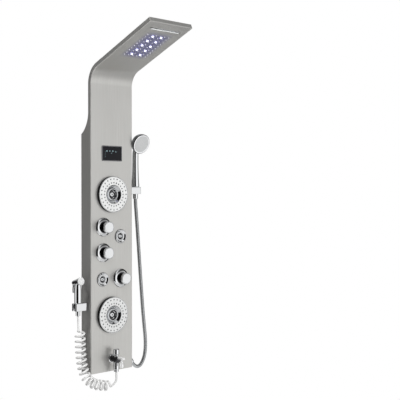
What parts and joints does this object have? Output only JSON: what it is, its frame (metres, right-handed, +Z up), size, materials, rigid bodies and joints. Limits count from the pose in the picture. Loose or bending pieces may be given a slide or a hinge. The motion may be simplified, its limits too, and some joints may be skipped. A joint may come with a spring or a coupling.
{
  "type": "shower panel column",
  "caption": "Wall-hung brushed steel shower column with overhead arm, round spray heads, side jets, knobs, hand shower, tub spout and a bidet sprayer on a coiled hose.",
  "frame": {"origin": "middle of the two screw holes of the upper wall bracket, on the wall plane", "axes": "+Z up along the column, -Y out of the wall into the room, +X to the right seen from the room"},
  "size_m": [0.3568, 0.4074, 1.3719],
  "materials": {
    "brushed_sheet": "fine brushed grain",
    "bracket_steel": "plain rolled steel",
    "chrome": "mirror polished",
    "white_plastic": "smooth white",
    "pale_grey_plastic": "satin pale grey",
    "black_plastic": "black",
    "display_glass": "polished black",
    "lamp_clear": "clear with a violet glow",
    "nozzle_rubber": "soft grey",
    "board": "sealed circuit board",
    "brass": "cast",
    "pipe": "drawn steel",
    "hose_metal": "ribbed steel skin",
    "coil_white": "smooth white"
  },
  "bodies": {
    "column": {"panel_shell": "brushed_sheet", "arm_cover": "brushed_sheet", "hanger_rails": "bracket_steel", "upper_wall_bracket": "bracket_steel", "lower_wall_bracket": "bracket_steel", "rain_water_box": "black_plastic", "rain_nozzle_mat": "nozzle_rubber", "lamp_lenses": "lamp_clear", "lamp_board": "board", "waterfall_outlet": "chrome", "display_bezel": "chrome", "display_glass": "display_glass", "display_housing": "black_plastic", "upper_jet_body": "chrome", "upper_jet_spray_plate": "white_plastic", "upper_jet_cup": "chrome", "lower_jet_body": "chrome", "lower_jet_spray_plate": "white_plastic", "lower_jet_cup": "chrome", "right_side_jet_bezel": "chrome", "left_side_jet_bezel": "chrome", "panel_back_nuts": "black_plastic", "hot_escutcheon": "chrome", "cold_escutcheon": "chrome", "diverter_escutcheon": "chrome", "valve_cartridges": "brass", "valve_manifold": "brass", "diverter_block": "brass", "mixed_water_pipe": "pipe", "rain_riser": "pipe", "hydro_generator": "black_plastic", "jet_feed_pipe": "pipe", "handset_feed_pipe": "pipe", "spout_feed_pipe": "pipe", "handset_holder": "chrome", "sprayer_holder": "chrome", "handset_hose": "hose_metal", "hose_outlet_elbow": "chrome", "sprayer_hose": "coil_white", "hose_end_nuts": "chrome", "spout_flange": "chrome", "spout_body": "chrome", "spout_aerator": "chrome"},
    "hot_knob": {"hot_knob": "chrome"},
    "cold_knob": {"cold_knob": "chrome"},
    "diverter_knob": {"diverter_knob": "chrome"},
    "upper_jet_ball": {"upper_jet_ball": "chrome"},
    "lower_jet_ball": {"lower_jet_ball": "chrome"},
    "right_side_jet_ball": {"right_side_jet_ball": "chrome"},
    "left_side_jet_ball": {"left_side_jet_ball": "chrome"},
    "handset": {"handset_body": "chrome", "handset_face": "pale_grey_plastic", "handset_trim_ring": "chrome", "handset_hose_nut": "chrome"},
    "sprayer": {"sprayer_body": "chrome", "sprayer_face": "white_plastic", "trigger_pin": "chrome", "sprayer_hose_nut": "chrome"},
    "sprayer_trigger": {"sprayer_trigger": "chrome"},
    "spout_diverter": {"spout_diverter_knob": "chrome"}
  },
  "joints": [
    {"name": "hot_turn", "type": "hinge", "parent": "column", "child": "hot_knob", "pos_m": [-0.041, -0.0605, -0.305], "axis": [0, -1, 0], "range_deg": [0, 90]},
    {"name": "cold_turn", "type": "hinge", "parent": "column", "child": "cold_knob", "pos_m": [-0.041, -0.0605, -0.403], "axis": [0, 1, 0], "range_deg": [0, 90]},
    {"name": "diverter_turn", "type": "hinge", "parent": "column", "child": "diverter_knob", "pos_m": [0.043, -0.0605, -0.5055], "axis": [0, -1, 0], "continuous": true},
    {"name": "upper_jet_tilt", "type": "hinge", "parent": "column", "child": "upper_jet_ball", "pos_m": [0, -0.0545, -0.1802], "axis": [1, 0, 0], "range_deg": [-15, 15]},
    {"name": "lower_jet_tilt", "type": "hinge", "parent": "column", "child": "lower_jet_ball", "pos_m": [0, -0.0545, -0.6451], "axis": [1, 0, 0], "range_deg": [-15, 15]},
    {"name": "right_side_jet_tilt", "type": "hinge", "parent": "column", "child": "right_side_jet_ball", "pos_m": [0.042, -0.0515, -0.343], "axis": [1, 0, 0], "range_deg": [-15, 15]},
    {"name": "left_side_jet_tilt", "type": "hinge", "parent": "column", "child": "left_side_jet_ball", "pos_m": [-0.044, -0.0515, -0.5056], "axis": [1, 0, 0], "range_deg": [-15, 15]},
    {"name": "handset_lift", "type": "slide", "parent": "column", "child": "handset", "axis": [0, 0, 1], "range_m": [0, 0.06]},
    {"name": "sprayer_lift", "type": "slide", "parent": "column", "child": "sprayer", "axis": [0, 0, 1], "range_m": [0, 0.06]},
    {"name": "trigger_press", "type": "hinge", "parent": "sprayer", "child": "sprayer_trigger", "pos_m": [-0.14, -0.0105, -0.528], "axis": [-1, 0, 0], "range_deg": [0, 10], "stiffness_Nm_per_rad": 0.1, "springref_deg": -5.73},
    {"name": "spout_diverter_pull", "type": "slide", "parent": "column", "child": "spout_diverter", "axis": [0, 0, 1], "range_m": [0, 0.008]}
  ]
}
